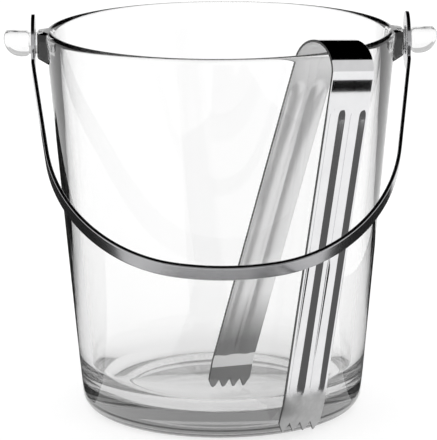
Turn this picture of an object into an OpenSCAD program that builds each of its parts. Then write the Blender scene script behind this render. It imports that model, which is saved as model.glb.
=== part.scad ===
// Glass ice bucket with a steel bail and a pair of steel ice tongs hung on its rim.
// Millimetres. Z is up, the base stands on Z = 0, the two lugs lie along X and the bail hangs towards -Y.

/* [Bucket] */
// Height from the table to the top of the rim
bucket_h = 146; // [130:1:170]
// Outer radius at the rim
rim_r = 66; // [60:1:76]
// How much the outer radius shrinks from the rim to the table
taper = 13; // [9:0.5:16]
// Wall thickness at the rim
rim_wall = 3.6; // [3:0.1:4.5]
// Wall thickness where the wall meets the floor
foot_wall = 4.8; // [4:0.1:6]
// Thickness of the base
base_t = 9; // [7.5:0.5:9.5]
// Radius of the rounded outer edge at the foot
foot_round = 7; // [4:0.5:8]
// Radius of the rounded inner edge at the floor
floor_round = 14; // [8:0.5:16]
// Radius of the melted edges of the rim
lip_round = 1.4; // [0.8:0.1:1.5]

/* [Lugs] */
// How far the flat top of the lug lies below the rim
lug_step = 0.3; // [0.2:0.1:0.6]
// Height of the swing axis below the top of the rim
lug_drop = 4.8; // [4.4:0.1:5.2]
// Radius of the round waist that carries the bail's eye
waist_r = 4; // [3.4:0.1:4.1]
// Width of the groove between the neck and the knob
groove_w = 2.8; // [2.2:0.1:3.4]
// Distance from the rim to the middle of the groove
groove_out = 4.3; // [4:0.1:6]
// Length of the knob outside the groove
knob_len = 9.6; // [7:0.2:12]
// Height of the knob
knob_h = 9; // [8:0.1:9.2]
// Width of the knob and of the neck's outer end
knob_w = 9.4; // [8:0.1:9.6]
// Corner radius of the knob's section
knob_round = 3; // [2.6:0.1:3.6]
// Depth of the neck below the knob
neck_drop = 3; // [1.5:0.25:4]
// How far each flank of the neck spreads towards the wall
neck_flare = 4.2; // [2:0.2:5]

/* [Bail] */
// Width of the steel strip
bail_w = 9.2; // [8:0.2:12]
// Thickness of the steel strip
bail_t = 1.4; // [1:0.1:1.8]
// Outer radius of the eye
eye_r = 10.8; // [9:0.2:12]
// Play between the eye and the knob that passes through it
eye_play = 0.2; // [0.15:0.05:0.4]
// Distance from the swing axis to the middle of the strip at the bow
bail_reach = 98.8; // [97:0.2:106]
// Radius of the bow's flat middle
bow_r = 109; // [90:1:120]
// Radius of the bow's two shoulders
shoulder_r = 56.6; // [50:0.2:60]
// Half angle of the bow's flat middle
bow_half = 12; // [9:0.2:16]
// Angle of the bail from straight down, towards the front
bail_rest = 42; // [42:0.2:60]

/* [Tongs] */
// Width of the tongs' strip
tong_w = 19.8; // [16:0.2:22]
// Thickness of the tongs' strip
tong_t = 1; // [0.8:0.1:1.2]
// Radius of the spring bow, to the middle of the strip
spring_r = 10.7; // [10.2:0.1:11.5]
// Length of a leg from the spring bow to the tips of its teeth
leg_len = 135; // [120:1:135]
// Half of the angle between the legs
open_half = 5.2; // [4.4:0.1:6]
// Depth of a tooth
tooth_h = 3.7; // [2.5:0.1:4.5]
// Length of the flat end below the flutes
end_len = 13; // [11:0.5:18]
// Angle by which the end is bent towards the other leg
end_bend = 7; // [4:0.5:9]
// Width of a flute
flute_w = 8; // [6:0.2:8.4]
// Depth of a flute
flute_depth = 1.1; // [0.6:0.1:1.3]
// Length of plain strip between the spring bow and the flutes
flute_start = 10.5; // [8:0.5:16]
// Seam between the tongs' spring bow and each leg
seam = 0.1; // [0.05:0.05:0.2]

/* [Tongs on the rim] */
// Direction of the tongs round the rim, from the front towards +X
hang_az = 36.8; // [35:0.2:39]
// Sideways lean of the tongs
hang_tilt = 6.3; // [5:0.5:7]
// Outward lean of the tongs
hang_lean = 10.3; // [9.6:0.1:11]
// Radius at which the spring bow's centre hangs, inside the rim's outer edge
hang_in = 6.3; // [5.8:0.1:6.8]
// Depth of the spring bow's centre below the top of the rim
hang_drop = 8.1; // [7.4:0.1:8.2]
// Angle round the rim at which the spring bow's centre hangs
hang_at = 41.9; // [40:0.1:44]

/* [Hidden] */
$fn = 96;
// Angle and length by which two bands of the bail overlap where they join
arc_lap = 0.5;
joint_lap = 0.4;
// Angles of the slight bends where an arm meets its shoulder and where a shoulder meets the bow
arm_kink = 2.5;
bow_kink = 2;

// Slopes of the outer and inner wall, as run per rise
out_slope = taper / bucket_h;
foot_r = rim_r - taper;
inner_rim_r = rim_r - rim_wall;
inner_floor_r = foot_r + out_slope * base_t - foot_wall;
in_slope = (inner_rim_r - inner_floor_r) / (bucket_h - base_t);
out_tilt = atan(out_slope);
in_tilt = atan(in_slope);

// Outer wall and inner wall radius at a height
function outer_at(z) = foot_r + out_slope * z;
function inner_at(z) = inner_floor_r + in_slope * (z - base_t);

// Centres of the rounded edges, each tangent to the wall it ends
foot_c = [outer_at(foot_round) - foot_round / cos(out_tilt), foot_round];
lip_z = bucket_h - lip_round;
lip_out_c = [outer_at(lip_z) - lip_round / cos(out_tilt), lip_z];
lip_in_c = [inner_at(lip_z) + lip_round / cos(in_tilt), lip_z];
floor_z = base_t + floor_round;
floor_c = [inner_at(floor_z) - floor_round / cos(in_tilt), floor_z];
lip_steps = 8;

// Unit vector at an angle
function dir2(a) = [cos(a), sin(a)];

// Lugs
axis_z = bucket_h - lug_drop;
groove_x = rim_r + groove_out;
neck_end = groove_x - groove_w / 2;
knob_start = groove_x + groove_w / 2;
lug_top = bucket_h - lug_step;
knob_bottom = lug_top - knob_h;
knob_tip_r = 7;
knob_diag = norm([knob_h / 2 - knob_round, knob_w / 2 - knob_round]) + knob_round;
knob_off = abs(axis_z - lug_top + knob_h / 2);
eye_hole_r = knob_diag + knob_off + eye_play;

// Bail path in its own plane: x is sideways, y is down from the swing axis
arm_x = groove_x;
arm_bend_y = eye_r + 0.5;
bow_c = [0, bail_reach - bow_r];
bow_end = bow_c + bow_r * dir2(90 - bow_half);
shoulder_end = 90 - bow_half - bow_kink;
shoulder_c = bow_end - shoulder_r * dir2(shoulder_end);
arm_to_c = shoulder_c - [arm_x, arm_bend_y];
arm_tangent = atan2(arm_to_c[1], arm_to_c[0]) - asin(shoulder_r / norm(arm_to_c));
shoulder_start = arm_tangent - 90 + arm_kink;
arm_end = shoulder_c + shoulder_r * dir2(shoulder_start);
arm_run = arm_end - [arm_x, arm_bend_y];
arm_dir = atan2(arm_run[1], arm_run[0]);
arm_len = norm(arm_run);

// Flute sections: the outer surface is pressed in and the inner surface follows it one thickness away
flute_cut_r = (flute_w * flute_w / 4 + flute_depth * flute_depth) / (2 * flute_depth);
flute_rib_r = flute_cut_r + tong_t;
flute_axis_y = -tong_t / 2 + flute_depth - flute_cut_r;
flute_x = tong_w / 4;
flat_len = 0.85 * end_len;
tip_flat = 0.4;
bend_z = flat_len - leg_len;
flute_top = -flute_start - flute_w / 2;
flute_end = -leg_len + end_len + flute_w / 2;

// Spring bow's centre, hung inside the rim
hang_r = rim_r - hang_in;
hang_pos = [hang_r * sin(hang_at), -hang_r * cos(hang_at), bucket_h - hang_drop];

// Points of a rounded rim edge from angle a to angle b
function lip_arc(c, a, b) = [for (i = [0 : lip_steps]) c + lip_round * dir2(a + (b - a) * i / lip_steps)];

// Half section of the glass, with chords across the foot and the floor that the circles round off
module glass_section() {
    foot_t = foot_c + foot_round * dir2(-out_tilt);
    floor_t = floor_c + floor_round * dir2(-in_tilt);
    difference() {
        union() {
            polygon(concat(
                [[0, 0], [foot_c[0], 0], foot_t],
                lip_arc(lip_out_c, -out_tilt, 90),
                lip_arc(lip_in_c, 90, 180 - in_tilt),
                [floor_t, [floor_c[0], base_t], [0, base_t]]
            ));
            translate(foot_c) circle(r = foot_round);
        }
        translate(floor_c) circle(r = floor_round);
    }
}

// Rectangle with rounded corners, centred
module rounded_rect(w, h, r) {
    square([w - 2 * r, h], center = true);
    square([w, h - 2 * r], center = true);
    for (x = [-1, 1], y = [-1, 1]) {
        translate([x * (w / 2 - r), y * (h / 2 - r)]) circle(r = r);
    }
}

// One lug on the +X side: neck against the wall, round waist, knob
module lug() {
    root_x = inner_at(axis_z) + rim_wall / 2;
    neck_bottom = knob_bottom - neck_drop;
    neck_half = knob_w / 2;
    root_half = neck_half + neck_flare;
    // Neck, spread towards the wall and cut to a slope below so that it is deepest there
    intersection() {
        translate([0, 0, neck_bottom - 1])
            linear_extrude(height = lug_top - neck_bottom + 1)
                polygon([
                    [root_x, -root_half], [neck_end, -neck_half], [neck_end, neck_half], [root_x, root_half]
                ]);
        translate([0, 2 * root_half, 0])
            rotate([90, 0, 0])
                linear_extrude(height = 4 * root_half)
                    polygon([
                        [root_x - 1, neck_bottom - 1], [neck_end + 1, neck_bottom + neck_drop / 2],
                        [neck_end + 1, bucket_h + 1], [root_x - 1, bucket_h + 1]
                    ]);
    }
    translate([root_x, 0, axis_z])
        rotate([0, 90, 0]) cylinder(r = waist_r, h = knob_start + 2 - root_x);
    // Knob, with its lower outer corner rounded off
    intersection() {
        translate([knob_start, 0, lug_top - knob_h / 2])
            rotate([90, 0, 90])
                linear_extrude(height = knob_len) rounded_rect(knob_w, knob_h, knob_round);
        translate([0, knob_w, 0])
            rotate([90, 0, 0])
                linear_extrude(height = 2 * knob_w) {
                    translate([knob_start - 1, knob_bottom - 1])
                        square([knob_len + 1 - knob_tip_r, knob_h + 2]);
                    translate([knob_start - 1, knob_bottom + knob_tip_r])
                        square([knob_len + 1, knob_h]);
                    translate([knob_start + knob_len - knob_tip_r, knob_bottom + knob_tip_r])
                        circle(r = knob_tip_r);
                }
    }
}

module glass_bucket() {
    color([0.86, 0.93, 0.93, 0.45]) {
        rotate([0, 0, 90]) rotate_extrude() glass_section();
        for (turn = [0, 180]) {
            rotate([0, 0, turn]) lug();
        }
    }
}

// Band of the strip's thickness along an arc, from angle a to angle b seen from the arc's centre
module arc_band(c, r, a, b) {
    far = 2 * r;
    mid = (a + b) / 2;
    translate(c)
        intersection() {
            difference() {
                circle(r = r + bail_t / 2);
                circle(r = r - bail_t / 2);
            }
            polygon([
                [0, 0], far * [cos(a), sin(a)], far * [cos(mid), sin(mid)], far * [cos(b), sin(b)]
            ]);
        }
}

// Straight band of the strip's thickness from a point along a direction
module straight_band(from, dir, len) {
    translate(from)
        rotate(dir)
            translate([0, -bail_t / 2]) square([len, bail_t]);
}

// One half of the bail's path, y down. Each band runs a little past its joint, so that neighbours cross
module bail_half() {
    straight_band([arm_x, 0], 90, arm_bend_y + joint_lap);
    straight_band([arm_x, arm_bend_y] - joint_lap * dir2(arm_dir), arm_dir, arm_len + 2 * joint_lap);
    arc_band(shoulder_c, shoulder_r, shoulder_start - arc_lap, shoulder_end + arc_lap);
    arc_band(bow_c, bow_r, 90 - bow_half - arc_lap, 90 + arc_lap);
}

module bail_handle() {
    color([0.72, 0.73, 0.75])
        translate([0, 0, axis_z])
            rotate([-bail_rest, 0, 0])
                difference() {
                    union() {
                        translate([0, bail_w / 2, 0])
                            rotate([90, 0, 0])
                                linear_extrude(height = bail_w)
                                    mirror([0, 1, 0]) {
                                        bail_half();
                                        mirror([1, 0, 0]) bail_half();
                                    }
                        for (side = [-1, 1]) {
                            translate([side * arm_x - bail_t / 2, 0, 0])
                                rotate([0, 90, 0]) cylinder(r = eye_r, h = bail_t);
                        }
                    }
                    for (side = [-1, 1]) {
                        translate([side * arm_x - bail_t, 0, 0])
                            rotate([0, 90, 0]) cylinder(r = eye_hole_r, h = 2 * bail_t);
                    }
                }
}

// Rod with ball ends along Z, the shape that presses a flute
module flute_rod(r, x) {
    rod_len = flute_top - flute_end;
    translate([x, flute_axis_y, flute_end])
        rotate_extrude()
            intersection() {
                translate([0, -2 * r]) square([2 * r, rod_len + 4 * r]);
                union() {
                    translate([-r, 0]) square([2 * r, rod_len]);
                    circle(r = r);
                    translate([0, rod_len]) circle(r = r);
                }
            }
}

// Notches between the teeth, cut straight through the bent end
module tooth_notches() {
    pitch = tong_w / 4;
    half = (pitch - tip_flat) / 2;
    for (i = [-2 : 2]) {
        translate([i * pitch, 2 * tong_t, -flat_len])
            rotate([90, 0, 0])
                linear_extrude(height = 4 * tong_t)
                    polygon([[-half, 0], [-half, -1], [half, -1], [half, 0], [0, tooth_h]]);
    }
}

// One leg hanging from the origin, its inner face towards +Y
module leg() {
    miter = tan(end_bend / 2) * tong_t / 2;
    drop = flat_len * dir2(end_bend - 90);
    side = tong_t / 2 * dir2(end_bend);
    difference() {
        union() {
            rotate([90, 0, 90])
                translate([0, 0, -tong_w / 2])
                    linear_extrude(height = tong_w)
                        polygon([
                            [-tong_t / 2, -seam], [-tong_t / 2, bend_z - miter], [0, bend_z] + drop - side,
                            [0, bend_z] + drop + side, [tong_t / 2, bend_z + miter], [tong_t / 2, -seam]
                        ]);
            intersection() {
                for (x = [-flute_x, flute_x]) {
                    flute_rod(flute_rib_r, x);
                }
                translate([-tong_w / 2, tong_t / 4, bend_z]) cube([tong_w, 4 * flute_depth, -bend_z - 1]);
            }
        }
        for (x = [-flute_x, flute_x]) {
            flute_rod(flute_cut_r, x);
        }
        translate([0, 0, bend_z]) rotate([end_bend, 0, 0]) tooth_notches();
    }
}

// Place a piece of the tongs on the rim
module on_rim() {
    translate(hang_pos) rotate([hang_lean, hang_tilt, hang_az]) children();
}

module tongs_bow() {
    color([0.78, 0.79, 0.8])
        on_rim()
            translate([-tong_w / 2, 0, 0])
                rotate([0, 90, 0])
                    rotate([0, 0, 90 + open_half])
                        rotate_extrude(angle = 180 - 2 * open_half)
                            translate([spring_r - tong_t / 2, 0]) square([tong_t, tong_w]);
}

module tongs_outer_leg() {
    color([0.78, 0.79, 0.8])
        on_rim() rotate([-open_half, 0, 0]) translate([0, -spring_r, 0]) leg();
}

module tongs_inner_leg() {
    color([0.78, 0.79, 0.8])
        on_rim() mirror([0, 1, 0]) rotate([-open_half, 0, 0]) translate([0, -spring_r, 0]) leg();
}

glass_bucket();
bail_handle();
tongs_bow();
tongs_outer_leg();
tongs_inner_leg();
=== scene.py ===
from math import asin, atan, atan2, cos, degrees, hypot, pi, radians, sin, sqrt

import bpy
from mathutils import Euler, Matrix, Vector


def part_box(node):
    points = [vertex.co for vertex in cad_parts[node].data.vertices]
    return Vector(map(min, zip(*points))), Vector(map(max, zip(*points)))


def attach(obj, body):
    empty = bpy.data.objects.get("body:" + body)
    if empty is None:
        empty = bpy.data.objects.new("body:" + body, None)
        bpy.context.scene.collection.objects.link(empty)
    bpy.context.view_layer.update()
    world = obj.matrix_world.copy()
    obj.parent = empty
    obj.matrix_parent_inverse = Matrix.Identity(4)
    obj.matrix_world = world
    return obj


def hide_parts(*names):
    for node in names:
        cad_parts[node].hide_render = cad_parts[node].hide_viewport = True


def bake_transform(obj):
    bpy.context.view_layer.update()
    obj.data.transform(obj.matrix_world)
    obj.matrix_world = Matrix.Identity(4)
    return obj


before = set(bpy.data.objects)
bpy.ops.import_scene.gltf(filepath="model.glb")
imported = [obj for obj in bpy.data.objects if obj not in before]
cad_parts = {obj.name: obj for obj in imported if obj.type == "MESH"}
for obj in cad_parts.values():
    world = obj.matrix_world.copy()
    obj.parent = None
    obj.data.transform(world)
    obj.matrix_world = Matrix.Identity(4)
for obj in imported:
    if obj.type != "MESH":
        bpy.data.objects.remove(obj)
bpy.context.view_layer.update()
mm = 0.001


# Glass bucket. One pressing of clear soda glass: a straight tapered wall, a thick base with a rounded foot
# and a shallow recess under it, and two lugs on opposite sides of the rim. Wall and base are turned as one
# section, and the lugs are joined on.
bucket_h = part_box("glass_bucket")[1].z
rim_r = 66 * mm
foot_r = 53 * mm
rim_wall = 3.6 * mm
foot_wall = 4.8 * mm
base_t = 9 * mm
foot_round = 7 * mm
floor_round = 14 * mm
lip_round = 1.75 * mm
recess_r = 37 * mm
recess_h = 1 * mm
recess_round = 2 * mm
recess_run = 1.5 * mm
turn_steps = 160
smooth_angle = radians(35)


def deselect():
    """Leave nothing selected."""
    bpy.ops.object.select_all(action="DESELECT")


def select_only(piece):
    """Make one piece the selected and active one."""
    deselect()
    piece.select_set(True)
    bpy.context.view_layer.objects.active = piece


def take(name):
    """The primitive that was just added, under its own name."""
    piece = bpy.context.object
    piece.name = name
    piece.data.name = name
    return piece


def pick(piece, test):
    """In edit mode, select the vertices that pass a test of their place."""
    bpy.ops.mesh.select_all(action="DESELECT")
    bpy.ops.object.mode_set(mode="OBJECT")
    for vertex in piece.data.vertices:
        vertex.select = test(vertex.co)
    bpy.ops.object.mode_set(mode="EDIT")


def finish_modifier(piece, kind, **settings):
    """Add a modifier to a piece, set it up and apply it."""
    bpy.context.view_layer.objects.active = piece
    modifier = piece.modifiers.new(kind.title(), kind)
    for key, value in settings.items():
        setattr(modifier, key, value)
    bpy.ops.object.modifier_apply(modifier=modifier.name)


def round_edges(piece, width, segments, angle):
    """Round the edges that turn by more than an angle."""
    finish_modifier(piece, "BEVEL", width=width, segments=segments, limit_method="ANGLE", angle_limit=angle)


def arc(centre, radius, start, end, steps):
    """Points of an arc in the section plane, from one angle to another, in degrees."""
    turns = [radians(start + (end - start) * i / steps) for i in range(steps + 1)]
    return [(centre[0] + radius * cos(t), centre[1] + radius * sin(t)) for t in turns]


out_slope = (rim_r - foot_r) / bucket_h
inner_floor_r = foot_r + out_slope * base_t - foot_wall
in_slope = (rim_r - rim_wall - inner_floor_r) / (bucket_h - base_t)
out_tilt = atan(out_slope)
in_tilt = atan(in_slope)


def outer_at(z):
    """Radius of the wall's outer face at a height."""
    return foot_r + out_slope * z


def inner_at(z):
    """Radius of the wall's inner face at a height."""
    return inner_floor_r + in_slope * (z - base_t)


foot_c = (outer_at(foot_round) - foot_round / cos(out_tilt), foot_round)
lip_z = bucket_h - lip_round
lip_out_c = (outer_at(lip_z) - lip_round / cos(out_tilt), lip_z)
lip_in_c = (inner_at(lip_z) + lip_round / cos(in_tilt), lip_z)
floor_z = base_t + floor_round
floor_c = (inner_at(floor_z) - floor_round / cos(in_tilt), floor_z)
out_deg = degrees(out_tilt)
in_deg = degrees(in_tilt)
section = [(0, recess_h)]
section += arc((recess_r - recess_round, recess_h - recess_round), recess_round, 90, 30, 4)
section += [(recess_r + recess_run, 0)]
section += arc(foot_c, foot_round, -90, -out_deg, 12)
section += arc(lip_out_c, lip_round, -out_deg, 90, 8)
section += arc(lip_in_c, lip_round, 90, 180 - in_deg, 8)
section += arc(floor_c, floor_round, -in_deg, -90, 20)
section += [(0, base_t)]

deselect()
bpy.ops.mesh.primitive_plane_add(size=mm, location=(0, 0, recess_h))
bucket = take("glass_bucket_turned")
bpy.ops.object.transform_apply(location=True, rotation=True, scale=True)
bpy.ops.object.mode_set(mode="EDIT")
bpy.ops.mesh.select_all(action="SELECT")
bpy.ops.mesh.merge(type="CENTER")
for (r0, z0), (r1, z1) in zip(section, section[1:]):
    bpy.ops.mesh.extrude_region_move(TRANSFORM_OT_translate={"value": (r1 - r0, 0, z1 - z0)})
bpy.ops.mesh.select_all(action="SELECT")
bpy.ops.mesh.spin(steps=turn_steps, angle=2 * pi, center=(0, 0, 0), axis=(0, 0, 1))
bpy.ops.mesh.select_all(action="SELECT")
bpy.ops.mesh.remove_doubles(threshold=0.001 * mm)
bpy.ops.mesh.normals_make_consistent(inside=False)
bpy.ops.object.mode_set(mode="OBJECT")

lug_step = 0.3 * mm
axis_drop = 4.8 * mm
groove_out = 4.3 * mm
groove_w = 2.8 * mm
waist_r = 4 * mm
waist_in_knob = 2 * mm
knob_len = 9.6 * mm
knob_h = 9 * mm
knob_w = 9.4 * mm
knob_corner = 6.5 * mm
knob_edge = 1.5 * mm
neck_drop = 3 * mm
neck_rise = 2.2 * mm
neck_flare = 1.9
neck_edge = 0.9 * mm
lug_angle = radians(40)
lug_top = bucket_h - lug_step
axis_z = bucket_h - axis_drop
groove_x = rim_r + groove_out
root_x = inner_at(axis_z) + rim_wall / 2
neck_end = groove_x - groove_w / 2
knob_start = groove_x + groove_w / 2
knob_end = knob_start + knob_len
neck_low = lug_top - knob_h - neck_drop
waist_len = knob_start + waist_in_knob - root_x


def block(name, low, high):
    """A box between two corners."""
    deselect()
    size = [end - start for start, end in zip(low, high)]
    centre = [(end + start) / 2 for start, end in zip(low, high)]
    bpy.ops.mesh.primitive_cube_add(size=1, location=centre, scale=size)
    piece = take(name)
    bpy.ops.object.transform_apply(location=True, rotation=True, scale=True)
    return piece


knob = block("knob", (knob_start, -knob_w / 2, lug_top - knob_h), (knob_end, knob_w / 2, lug_top))
bpy.ops.object.mode_set(mode="EDIT")
bpy.ops.mesh.select_mode(type="VERT")
pick(knob, lambda p: p.x > knob_end - mm and p.z < lug_top - mm)
bpy.ops.mesh.bevel(offset=knob_corner, segments=10, profile=0.5, affect="EDGES")
bpy.ops.object.mode_set(mode="OBJECT")
round_edges(knob, knob_edge, 4, lug_angle)
neck = block("neck", (root_x, -knob_w / 2, neck_low), (neck_end, knob_w / 2, lug_top))
bpy.ops.object.mode_set(mode="EDIT")
pick(neck, lambda p: p.x > neck_end - mm and p.z < neck_low + mm)
bpy.ops.transform.translate(value=(0, 0, neck_rise))
pick(neck, lambda p: p.x < root_x + mm)
bpy.ops.transform.resize(value=(1, neck_flare, 1), center_override=(root_x, 0, axis_z))
bpy.ops.object.mode_set(mode="OBJECT")
round_edges(neck, neck_edge, 3, lug_angle)
deselect()
bpy.ops.mesh.primitive_cylinder_add(
    vertices=48, radius=waist_r, depth=waist_len,
    location=(root_x + waist_len / 2, 0, axis_z), rotation=(0, pi / 2, 0),
)
waist = take("waist")
bpy.ops.object.transform_apply(location=True, rotation=True, scale=True)
for part in (neck, knob):
    finish_modifier(waist, "BOOLEAN", operation="UNION", object=part, solver="EXACT")
    bpy.data.objects.remove(part)
for lug_turn in (0, pi):
    waist.rotation_euler = (0, 0, lug_turn)
    bpy.context.view_layer.update()
    finish_modifier(bucket, "BOOLEAN", operation="UNION", object=waist, solver="EXACT")
bpy.data.objects.remove(waist)
select_only(bucket)
bpy.ops.object.shade_smooth_by_angle(angle=smooth_angle)


def grey(level):
    """A grey colour."""
    return (level, level, level, 1)


def new_material(name, colour):
    """A material of one colour, and its shader."""
    material = bpy.data.materials.new(name)
    material.use_nodes = True
    shader = material.node_tree.nodes["Principled BSDF"]
    shader.inputs["Base Color"].default_value = colour
    return material, shader


def node_adder(tree):
    """A function that adds a node to this tree, sets its values and links its inputs."""
    def add(kind, links=None, **values):
        node = tree.nodes.new("ShaderNode" + kind)
        for key, value in values.items():
            if key in node.inputs:
                node.inputs[key].default_value = value
            else:
                setattr(node, key, value)
        for socket, source in (links or {}).items():
            tree.links.new(source, node.inputs[socket])
        return node

    return add


def spread(add, source, low, high):
    """A value from 0 to 1 spread over a range."""
    node = add("MapRange", {"Value": source})
    node.inputs["To Min"].default_value = low
    node.inputs["To Max"].default_value = high
    return node.outputs["Result"]


clear_glass, shader = new_material("clear_glass", grey(1))
shader.inputs["Transmission Weight"].default_value = 1
shader.inputs["IOR"].default_value = 1.5
tree = clear_glass.node_tree
add = node_adder(tree)
place = add("TexCoord").outputs["Object"]
ripple = add("TexNoise", {"Vector": place}, Scale=38, Detail=1.5, Roughness=0.4)
film = add("TexNoise", {"Vector": place}, Scale=90, Detail=3, Roughness=0.6)
film_roughness = spread(add, film.outputs["Fac"], 0, 0.004)
bump = add("Bump", {"Height": ripple.outputs["Fac"]}, Strength=0.04, Distance=0.4 * mm)
depth = add("VolumeAbsorption", Color=grey(0.2), Density=12)
tree.links.new(film_roughness, shader.inputs["Roughness"])
tree.links.new(bump.outputs["Normal"], shader.inputs["Normal"])
tree.links.new(depth.outputs["Volume"], tree.nodes["Material Output"].inputs["Volume"])
bucket.data.materials.clear()
bucket.data.materials.append(clear_glass)
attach(bucket, "bucket")
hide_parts("glass_bucket")


# Bail. A flat strip of stainless steel bent to a wide bow, with a round eye blanked at each end.
# The eyes are sprung over the glass knobs and hang in the grooves. The bow leans on the tongs' outer leg.
bail_w = 9.2 * mm
bail_t = 1.4 * mm
bail_edge = 0.25 * mm
eye_r = 10.8 * mm
eye_hole_r = 5.47 * mm
eye_band = 0.5 * mm
bail_reach = 98.83 * mm
bow_r = 111.8 * mm
bow_half = radians(9.5)
shoulder_r = 56.4 * mm
tab_len = 0.5 * mm
tab_half = radians(25)
bail_rest = radians(42)
eye_steps = 72
seam = 0.02 * mm
hair = 0.01 * mm
tab_y = eye_r * sin(tab_half)
arm_bend_z = -(eye_r + tab_len)
arm_narrowing = bail_w / 2 / tab_y

bow_c = Vector((0, 0, bow_r - bail_reach))
shoulder_c = bow_c + (bow_r - shoulder_r) * Vector((sin(bow_half), 0, -cos(bow_half)))
to_shoulder = shoulder_c - Vector((groove_x, 0, arm_bend_z))
tangent_len = sqrt(to_shoulder.length_squared - shoulder_r ** 2)
arm_dir = atan2(-to_shoulder.z, to_shoulder.x) - asin(shoulder_r / to_shoulder.length)
arm_run = tangent_len * Vector((cos(arm_dir), 0, -sin(arm_dir)))
shoulder_turn = pi - arm_dir - bow_half


def on_tab(p):
    """Whether a point is on the part of the eye's outline that the arm grows from."""
    on_outline = hypot(p.y, p.z) > eye_r - eye_band
    return on_outline and p.z < -eye_hole_r and abs(p.y) < tab_y + hair


deselect()
bpy.ops.mesh.primitive_circle_add(
    vertices=eye_steps, radius=eye_r, fill_type="NGON", location=(groove_x, 0, 0), rotation=(0, pi / 2, 0),
)
bail = take("bail_strip")
bpy.ops.object.transform_apply(location=True, rotation=True, scale=True)
bpy.ops.object.mode_set(mode="EDIT")
bpy.ops.mesh.select_all(action="SELECT")
bpy.ops.mesh.inset(thickness=eye_r - eye_hole_r)
bpy.ops.mesh.delete(type="FACE")
bpy.ops.mesh.select_mode(type="VERT")
pick(bail, on_tab)
bpy.ops.mesh.extrude_edges_move(TRANSFORM_OT_translate={"value": (0, 0, arm_bend_z + eye_r)})
bpy.ops.transform.resize(value=(1, arm_narrowing, 0), center_override=(groove_x, 0, arm_bend_z))
bpy.ops.mesh.extrude_edges_move(TRANSFORM_OT_translate={"value": arm_run})
bpy.ops.mesh.spin(steps=30, angle=-shoulder_turn, center=shoulder_c, axis=(0, 1, 0))
bpy.ops.mesh.spin(steps=8, angle=-bow_half, center=bow_c, axis=(0, 1, 0))
bpy.ops.object.mode_set(mode="OBJECT")
finish_modifier(bail, "MIRROR", use_axis=(True, False, False), merge_threshold=seam)
bpy.ops.object.mode_set(mode="EDIT")
bpy.ops.mesh.select_all(action="SELECT")
bpy.ops.mesh.remove_doubles(threshold=0.002 * mm)
bpy.ops.mesh.normals_make_consistent(inside=False)
bpy.ops.object.mode_set(mode="OBJECT")
finish_modifier(bail, "SOLIDIFY", thickness=bail_t, offset=0)
round_edges(bail, bail_edge, 3, radians(50))
bail.rotation_euler = (-bail_rest, 0, 0)
bail.location = (0, 0, axis_z)
select_only(bail)
bpy.ops.object.transform_apply(location=True, rotation=True, scale=True)
bpy.ops.object.shade_smooth_by_angle(angle=smooth_angle)

bail_steel, shader = new_material("bail_steel", (0.55, 0.56, 0.57, 1))
shader.inputs["Metallic"].default_value = 1
tree = bail_steel.node_tree
add = node_adder(tree)
place = add("TexCoord").outputs["Object"]
brush = add("Mapping", {"Vector": place}, Scale=(90, 2600, 90))
streaks = add("TexNoise", {"Vector": brush.outputs["Vector"]}, Scale=1, Detail=3, Roughness=0.6)
cloud = add("TexNoise", {"Vector": place}, Scale=120, Detail=4, Roughness=0.6)
tone = add("MixRGB", {"Fac": cloud.outputs["Fac"]})
tone.inputs["Color1"].default_value = (0.36, 0.36, 0.37, 1)
tone.inputs["Color2"].default_value = (0.46, 0.46, 0.47, 1)
gloss = spread(add, streaks.outputs["Fac"], 0.12, 0.24)
bump = add("Bump", {"Height": streaks.outputs["Fac"]}, Strength=0.05, Distance=0.02 * mm)
tree.links.new(tone.outputs["Color"], shader.inputs["Base Color"])
tree.links.new(gloss, shader.inputs["Roughness"])
tree.links.new(bump.outputs["Normal"], shader.inputs["Normal"])
bail.data.materials.clear()
bail.data.materials.append(bail_steel)
bail.visible_glossy = False
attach(bail, "bail")
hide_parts("bail_handle")


# Tongs. One strip of spring stainless steel bent over to a bow, each leg stiffened by two pressed flutes and
# its end cut to four teeth and bent in. They straddle the rim, and the bow flexes as the legs are squeezed.
tong_w = 19.8 * mm
tong_t = 1 * mm
tong_edge = 0.25 * mm
spring_r = 10.7 * mm
leg_len = 135 * mm
open_half = radians(5.2)
tooth_h = 3.7 * mm
tooth_zone = 8 * mm
tooth_pitch = tong_w / 4
flat_len = 11 * mm
end_len = 13 * mm
end_bend = radians(7)
bend_z = flat_len - leg_len
flute_w = 8 * mm
flute_depth = 1.1 * mm
flute_start = 10.5 * mm
flute_x = tong_w / 4
flute_cut_r = (flute_w ** 2 / 4 + flute_depth ** 2) / (2 * flute_depth)
flute_top = -flute_start - flute_w / 2
flute_end = -leg_len + end_len + flute_w / 2
hang_in = 6.3 * mm
hang_drop = 8.1 * mm
hang_at = radians(41.9)
hang_r = rim_r - hang_in
hang_pos = Vector((hang_r * sin(hang_at), -hang_r * cos(hang_at), bucket_h - hang_drop))
hang_turn = (radians(10.3), radians(6.3), radians(36.8))
hang_matrix = Euler(hang_turn).to_matrix()
columns = 48
rows = 108


def pressed(p):
    """Share of the flute's depth at a point of the leg."""
    past_end = max(p.z - flute_top, flute_end - p.z, 0)
    off = hypot(abs(p.x) - flute_x, past_end)
    if off >= flute_w / 2:
        return 0
    return (sqrt(flute_cut_r ** 2 - off ** 2) - flute_cut_r + flute_depth) / flute_depth


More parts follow.
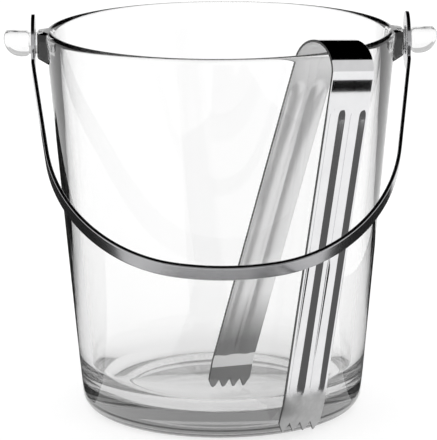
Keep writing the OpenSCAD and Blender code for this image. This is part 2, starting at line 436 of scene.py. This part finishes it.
deselect()
bpy.ops.mesh.primitive_grid_add(
    x_subdivisions=columns, y_subdivisions=rows, size=1,
    location=(0, -spring_r, -leg_len / 2), rotation=(pi / 2, 0, 0),
)
tongs = take("tongs_strip")
tongs.scale = (tong_w, leg_len, 1)
bpy.ops.object.transform_apply(location=True, rotation=True, scale=True)
flutes = tongs.vertex_groups.new(name="flutes")
for vertex in tongs.data.vertices:
    flutes.add([vertex.index], pressed(vertex.co), "REPLACE")
finish_modifier(
    tongs, "DISPLACE", direction="Y", strength=flute_depth, mid_level=0,
    vertex_group="flutes", texture_coords="LOCAL",
)
for vertex in tongs.data.vertices:
    above_end = vertex.co.z + leg_len
    if above_end < tooth_zone:
        from_tip = abs((vertex.co.x / tooth_pitch) % 1 - 0.5)
        vertex.co.z += tooth_h * from_tip * 2 * (1 - above_end / tooth_zone)
bpy.ops.object.mode_set(mode="EDIT")
bpy.ops.mesh.select_mode(type="VERT")
pick(tongs, lambda p: p.z < bend_z)
bpy.ops.transform.rotate(value=-end_bend, orient_axis="X", center_override=(0, -spring_r, bend_z))
bpy.ops.mesh.select_all(action="SELECT")
bpy.ops.transform.rotate(value=open_half, orient_axis="X", center_override=(0, 0, 0))
bpy.ops.object.mode_set(mode="OBJECT")
top_z = max(v.co.z for v in tongs.data.vertices)
bpy.ops.object.mode_set(mode="EDIT")
pick(tongs, lambda p: p.z > top_z - hair)
bpy.ops.mesh.spin(steps=24, angle=pi / 2 - open_half, center=(0, 0, 0), axis=(1, 0, 0))
bpy.ops.object.mode_set(mode="OBJECT")
finish_modifier(tongs, "MIRROR", use_axis=(False, True, False), merge_threshold=seam)
bpy.ops.object.mode_set(mode="EDIT")
bpy.ops.mesh.select_all(action="SELECT")
bpy.ops.mesh.normals_make_consistent(inside=False)
bpy.ops.object.mode_set(mode="OBJECT")
finish_modifier(tongs, "SOLIDIFY", thickness=tong_t, offset=0)
round_edges(tongs, tong_edge, 2, radians(55))

# Painted highlight: a light band on the inner faces just above the bend.
painted_bend_highlight_low = -0.2 * mm
painted_bend_highlight_high = 3.6 * mm
# Painted dark reflection: over this run the outer faces darken in blotches towards the toothed end.
end_reflection_from = 113 * mm
end_reflection_run = 7 * mm
# Painted dark reflection: over this run the inner faces darken towards the bend.
dark_above_bend_from = 94 * mm
dark_above_bend_run = 20 * mm
inner_facing = -0.5
# Painted dark reflection: faces that turn neither in nor out, the strip's cut edges, are near black.
side_facing = 0.8


def ramp(length, start, run):
    """A share that grows from 0 to 1 over a run of the leg."""
    return min(max((length - start) / run, 0), 1)


inside = tongs.data.attributes.new("inside", "FLOAT", "FACE")
painted_edge_reflection = tongs.data.attributes.new("painted_edge_reflection", "FLOAT", "FACE")
painted_end_reflection = tongs.data.attributes.new("painted_end_reflection", "FLOAT", "POINT")
painted_dark_above_bend = tongs.data.attributes.new("painted_dark_above_bend", "FLOAT", "POINT")
painted_bend_highlight = tongs.data.attributes.new("painted_bend_highlight", "FLOAT", "FACE")
for face in tongs.data.polygons:
    away = Vector((0, face.center.y, max(face.center.z, 0))).normalized()
    facing = face.normal.dot(away)
    at_bend = painted_bend_highlight_low < face.center.z - bend_z < painted_bend_highlight_high
    inside.data[face.index].value = 1 if facing < inner_facing else 0
    painted_edge_reflection.data[face.index].value = 1 if abs(facing) < side_facing else 0
    painted_bend_highlight.data[face.index].value = 1 if facing < inner_facing and at_bend else 0
for vertex in tongs.data.vertices:
    painted_end_reflection.data[vertex.index].value = ramp(-vertex.co.z, end_reflection_from, end_reflection_run)
    painted_dark_above_bend.data[vertex.index].value = ramp(-vertex.co.z, dark_above_bend_from, dark_above_bend_run)
tongs.rotation_euler = hang_turn
tongs.location = hang_pos
select_only(tongs)
bpy.ops.object.transform_apply(location=True, rotation=True, scale=True)
bpy.ops.object.shade_smooth_by_angle(angle=smooth_angle)

tongs_steel, shader = new_material("tongs_steel", grey(0.7))
shader.inputs["Metallic"].default_value = 1
tree = tongs_steel.node_tree
add = node_adder(tree)
place = add("TexCoord").outputs["Object"]
along = add("Mapping", {"Vector": place}, vector_type="TEXTURE", Rotation=hang_turn, Location=hang_pos)
brush = add("Mapping", {"Vector": along.outputs["Vector"]}, Scale=(2400, 400, 60))
streaks = add("TexNoise", {"Vector": brush.outputs["Vector"]}, Scale=1, Detail=3, Roughness=0.6)
cloud = add("TexNoise", {"Vector": place}, Scale=160, Detail=4, Roughness=0.6)
tone = add("MixRGB", {"Fac": cloud.outputs["Fac"]})
tone.inputs["Color1"].default_value = (0.7, 0.7, 0.71, 1)
tone.inputs["Color2"].default_value = (0.82, 0.82, 0.83, 1)
# Painted dark reflection: blotchy dark steel over the toothed end of the outer faces.
end_tone = add("MixRGB", {"Fac": cloud.outputs["Fac"]}, Color1=grey(0.24), Color2=grey(0.56))
blotch = add("Math", {0: cloud.outputs["Fac"]}, operation="MULTIPLY_ADD")
blotch.inputs[1].default_value = 1.6
blotch.inputs[2].default_value = -0.8
end_at = add("Attribute", attribute_name="painted_end_reflection").outputs["Fac"]
end_mask = add("Math", {0: end_at, 1: blotch.outputs["Value"]}, operation="ADD", use_clamp=True)
end_share = add("Math", {0: end_mask.outputs["Value"], 1: end_at}, operation="MULTIPLY").outputs["Value"]
face_tone = add(
    "MixRGB", {"Fac": end_share, "Color1": tone.outputs["Color"], "Color2": end_tone.outputs["Color"]},
)
# Inner faces: lighter steel, darkening towards the bend as a painted dark reflection.
dark_above_bend_at = add("Attribute", attribute_name="painted_dark_above_bend").outputs["Fac"]
inner_tone = add("MixRGB", {"Fac": dark_above_bend_at}, Color1=grey(0.92), Color2=grey(0.26))
dull = add("Attribute", attribute_name="inside").outputs["Fac"]
side_tone = add(
    "MixRGB", {"Fac": dull, "Color1": face_tone.outputs["Color"], "Color2": inner_tone.outputs["Color"]},
)
# Painted highlight: a light band on the inner faces at the bend.
bend_highlight_at = add("Attribute", attribute_name="painted_bend_highlight").outputs["Fac"]
bend_tone = add("MixRGB", {"Fac": bend_highlight_at, "Color1": side_tone.outputs["Color"]}, Color2=grey(0.95))
# Painted dark reflection: the strip's cut edges are near black.
edge_reflection_at = add("Attribute", attribute_name="painted_edge_reflection").outputs["Fac"]
full_tone = add("MixRGB", {"Fac": edge_reflection_at, "Color1": bend_tone.outputs["Color"]}, Color2=grey(0.1))
gloss = spread(add, streaks.outputs["Fac"], 0.03, 0.09)
end_gloss = add("Mix", {"Factor": end_share, "A": gloss}, B=0.4)
side_gloss = add("Mix", {"Factor": dull, "A": end_gloss.outputs["Result"]}, B=0.4)
bump = add("Bump", {"Height": streaks.outputs["Fac"]}, Strength=0.04, Distance=0.02 * mm)
tree.links.new(full_tone.outputs["Color"], shader.inputs["Base Color"])
tree.links.new(side_gloss.outputs["Result"], shader.inputs["Roughness"])
tree.links.new(bump.outputs["Normal"], shader.inputs["Normal"])
tongs.data.materials.clear()
tongs.data.materials.append(tongs_steel)
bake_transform(tongs)
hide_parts("tongs_bow", "tongs_outer_leg", "tongs_inner_leg")


# Studio. A wide pale floor in an even white surround. The polished steel also mirrors a dark ceiling and
# a few dark cards, which show only as reflections and give it its dark lines.
deselect()
bpy.ops.mesh.primitive_plane_add(size=12)
floor = take("floor")
floor_white, shader = new_material("floor_white", grey(0.46))
shader.inputs["Roughness"].default_value = 0.9
shader.inputs["Specular IOR Level"].default_value = 0
shader.inputs["Emission Color"].default_value = grey(1)
shader.inputs["Emission Strength"].default_value = 0.64
floor.data.materials.append(floor_white)


def card(name, centre, angles, size, level):
    """A dark card that only shows as a reflection."""
    deselect()
    bpy.ops.mesh.primitive_plane_add(size=1, location=centre, rotation=angles)
    piece = take(name)
    piece.scale = (*size, 1)
    piece.visible_camera = False
    piece.visible_diffuse = False
    piece.visible_shadow = False
    piece.visible_transmission = False
    paint, shader = new_material(name, grey(0))
    shader.inputs["Specular IOR Level"].default_value = 0
    shader.inputs["Emission Color"].default_value = grey(level)
    shader.inputs["Emission Strength"].default_value = 1
    piece.data.materials.append(paint)


flat = (0, 0, 0)
card_z = 0.2 * mm
card("limb_card", (-0.16, 0.245, card_z), flat, (0.2, 0.51), 0.02)
card("limb_card", (0.13, 0.12, card_z), flat, (0.14, 0.26), 0.02)
card("near_card", (0, -0.36, card_z), flat, (0.13, 0.52), 0.02)

leg_foot = Vector((0.037, -0.056, 0.002))
front_angle = radians(55)
front_size = 0.4
edge_dir = Vector((sin(front_angle), -cos(front_angle), 0))
off_dir = Vector((-cos(front_angle), -sin(front_angle), 0))
front_centre = leg_foot + (edge_dir + off_dir) * front_size / 2
card("front_card", front_centre, (0, 0, front_angle - pi / 2), (front_size, front_size), 0.12)

leg_top = hang_pos + hang_matrix @ Matrix.Rotation(-open_half, 3, "X") @ Vector((0, -spring_r, 0.2 * mm))
mirror_dir = Vector((0.903, -0.23, -0.361)).normalized()
bar_away = 0.07
bar_axis = hang_matrix @ Vector((1, 0, 0))
bar_up = mirror_dir.cross(bar_axis).normalized()
bar_angles = Matrix((bar_axis, bar_up, bar_axis.cross(bar_up))).transposed().to_euler()
card("bar_card", leg_top + mirror_dir * bar_away, bar_angles, (0.03, 0.005), 0)

room_light = 1.3
glass_light = 0.8
ceiling_lean = 0.3
ceiling_from = 0.46
ceiling_full = 0.5
world = bpy.data.worlds.new("studio")
bpy.context.scene.world = world
world.use_nodes = True
tree = world.node_tree
add = node_adder(tree)
background = tree.nodes["Background"]
background.inputs["Color"].default_value = grey(0.8)
ray = add("LightPath")
direction = add("TexCoord")
axes = add("SeparateXYZ", {"Vector": direction.outputs["Generated"]})
height = add("Math", {0: axes.outputs["Y"], 2: axes.outputs["Z"]}, operation="MULTIPLY_ADD")
height.inputs[1].default_value = ceiling_lean
ceiling = add("MapRange", {"Value": height.outputs["Value"]}, interpolation_type="SMOOTHSTEP")
ceiling.inputs["From Min"].default_value = ceiling_from
ceiling.inputs["From Max"].default_value = ceiling_full
ceiling.inputs["To Min"].default_value = 1
ceiling.inputs["To Max"].default_value = 0
through_glass = ray.outputs["Is Transmission Ray"]
unlit = add("Mix", {"Factor": through_glass, "A": ceiling.outputs["Result"]}, B=glass_light)
lit = add("Math", {0: ray.outputs["Is Camera Ray"], 1: ray.outputs["Diffuse Depth"]}, operation="MAXIMUM")
lit.use_clamp = True
strength = add("Mix", {"Factor": lit.outputs["Value"], "A": unlit.outputs["Result"]}, B=room_light)
tree.links.new(strength.outputs["Result"], background.inputs["Strength"])


# Camera. A long lens from the front and a little above, as the photograph was taken. The light paths are
# deep, because light crosses many faces on its way through the glass.
photo_h = 440
focal_px = 3232.1
camera_at = Vector((-1.05 * mm, -1200 * mm, 351.86 * mm))
camera_pitch = radians(13.123)
camera_roll = -0.00447
camera_yaw = radians(-1.5)
path_depth = 24
camera_data = bpy.data.cameras.new("camera")
camera_data.sensor_width = 36
camera_data.lens = focal_px / photo_h * camera_data.sensor_width
camera = bpy.data.objects.new("camera", camera_data)
bpy.context.scene.collection.objects.link(camera)
camera.matrix_world = (
    Matrix.Rotation(camera_yaw, 4, "Z") @ Matrix.Translation(camera_at)
    @ Matrix.Rotation(pi / 2 - camera_pitch, 4, "X") @ Matrix.Rotation(camera_roll, 4, "Z")
)
bpy.context.scene.camera = camera
bpy.context.scene.view_settings.view_transform = "Standard"
bpy.context.scene.cycles.max_bounces = path_depth
bpy.context.scene.cycles.transmission_bounces = path_depth
bpy.context.scene.cycles.glossy_bounces = path_depth
